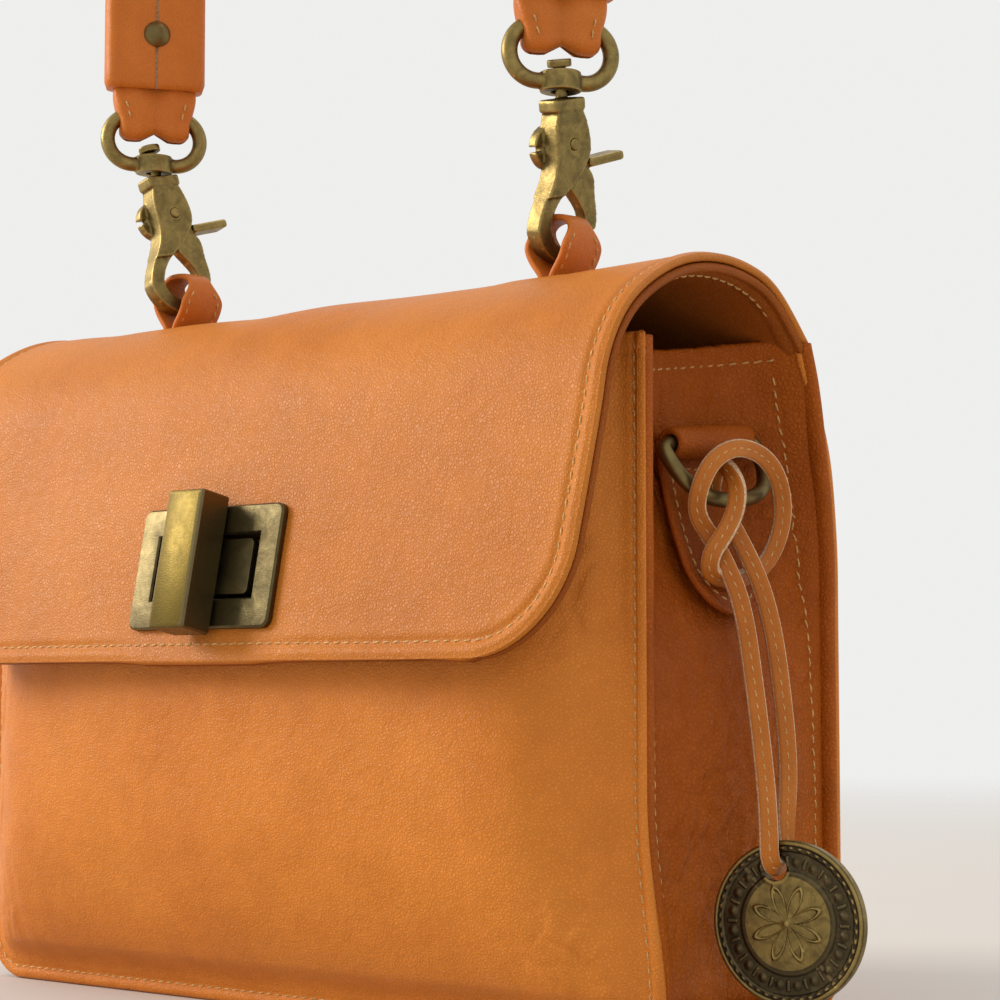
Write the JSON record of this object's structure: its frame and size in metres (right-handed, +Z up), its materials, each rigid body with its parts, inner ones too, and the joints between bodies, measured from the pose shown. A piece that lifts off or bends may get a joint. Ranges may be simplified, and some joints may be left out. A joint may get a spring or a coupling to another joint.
{
  "type": "sling bag",
  "caption": "Flap-top leather sling bag with a turn lock, a short handle clipped to loops on the flap, side D-rings and a round charm hanging on a knotted lace.",
  "frame": {"origin": "centre of the underside of the base, on the surface the bag stands on", "axes": "+X to the bag's left-hand side seen from behind, which is the viewer's right seen from the front; -Y to the front, where the flap's lock is; +Z up"},
  "size_m": [0.287, 0.1224, 0.4303],
  "materials": {
    "leather_body": "pebbled tan leather, satin",
    "leather_flap": "pebbled tan leather, satin",
    "leather_strap": "smooth tan leather with painted edges",
    "leather_lace": "smooth tan lace with raw edges",
    "flap_lining": "thin lining leather",
    "cloth_lining": "woven cotton lining",
    "board": "pressed fibre board",
    "antique_brass": "aged, brushed and worn at the edges"
  },
  "bodies": {
    "bag": {"front_panel": "leather_body", "back_panel": "leather_body", "front_lip": "leather_body", "back_lip": "leather_body", "base_panel": "leather_body", "base_board": "board", "lining": "cloth_lining", "inner_pocket": "cloth_lining", "gusset_right": "leather_body", "gusset_left": "leather_body", "lock_base": "antique_brass", "lock_base_backing": "antique_brass", "d_ring_patch_right": "leather_body", "d_ring_patch_left": "leather_body"},
    "flap": {"flap_outer": "leather_flap", "flap_lining": "flap_lining", "lock_frame": "antique_brass", "lock_frame_backing": "antique_brass", "lock_frame_screws": "antique_brass", "loop_right": "leather_flap", "loop_left": "leather_flap"},
    "turn_bar": {"turn_bar": "antique_brass", "turn_bar_retainer": "antique_brass"},
    "handle": {"strap": "leather_strap", "handle_wrap": "leather_strap", "wrap_studs": "antique_brass", "swivel_ring_right": "antique_brass", "swivel_ring_left": "antique_brass"},
    "charm": {"charm_lace": "leather_lace"},
    "medallion": {"medallion": "antique_brass"},
    "hook_right": {"hook_right": "antique_brass", "hook_pin_right": "antique_brass"},
    "trigger_right": {"trigger_right": "antique_brass"},
    "d_ring_right": {"d_ring_right": "antique_brass"},
    "hook_left": {"hook_left": "antique_brass", "hook_pin_left": "antique_brass"},
    "trigger_left": {"trigger_left": "antique_brass"},
    "d_ring_left": {"d_ring_left": "antique_brass"}
  },
  "joints": [
    {"name": "flap_hinge", "type": "hinge", "parent": "bag", "child": "flap", "pos_m": [0, 0.0302, 0.1738], "axis": [-1, 0, 0], "range_deg": [0, 134]},
    {"name": "turn_bar_turn", "type": "hinge", "parent": "bag", "child": "turn_bar", "pos_m": [0, -0.0682, 0.116], "axis": [0, -0.9806, 0.1961], "range_deg": [0, 90]},
    {"name": "handle_tilt", "type": "hinge", "parent": "flap", "child": "handle", "pos_m": [0, -0.01172, 0.2055], "axis": [0.9999, 0.0171, 0], "range_deg": [-75, 48]},
    {"name": "hook_right_swivel", "type": "hinge", "parent": "handle", "child": "hook_right", "pos_m": [0.07653, -0.01743, 0.24159], "axis": [0.1288, -0.265, 0.9556], "range_deg": [-4, 4]},
    {"name": "trigger_right_open", "type": "hinge", "parent": "hook_right", "child": "trigger_right", "pos_m": [0.07457, -0.0125, 0.22638], "axis": [-0.9795, 0.1167, 0.1644], "range_deg": [0, 6], "stiffness_Nm_per_rad": 0.05, "springref_deg": -17.19},
    {"name": "d_ring_right_swing", "type": "hinge", "parent": "bag", "child": "d_ring_right", "pos_m": [0.111, -0.0015, 0.147], "axis": [0, -0.9945, -0.1045], "range_deg": [0, 100]},
    {"name": "hook_left_swivel", "type": "hinge", "parent": "handle", "child": "hook_left", "pos_m": [-0.08208, -0.01637, 0.24168], "axis": [-0.2164, -0.1695, 0.9615], "range_deg": [-4, 4]},
    {"name": "trigger_left_open", "type": "hinge", "parent": "hook_left", "child": "trigger_left", "pos_m": [-0.07849, -0.01296, 0.22635], "axis": [-0.9656, 0.1827, -0.1851], "range_deg": [0, 6], "stiffness_Nm_per_rad": 0.05, "springref_deg": -17.19},
    {"name": "d_ring_left_swing", "type": "hinge", "parent": "bag", "child": "d_ring_left", "pos_m": [-0.111, -0.0015, 0.147], "axis": [0, 0.9945, 0.1045], "range_deg": [0, 100]},
    {"name": "charm_swing", "type": "hinge", "parent": "d_ring_right", "child": "charm", "pos_m": [0.119, -0.0045, 0.1318], "axis": [0, -0.9945, -0.1045], "range_deg": [0, 18]},
    {"name": "medallion_swing", "type": "hinge", "parent": "charm", "child": "medallion", "pos_m": [0.13934, -0.01348, 0.0425], "axis": [0.1495, -0.9888, 0], "range_deg": [0, 45]}
  ]
}
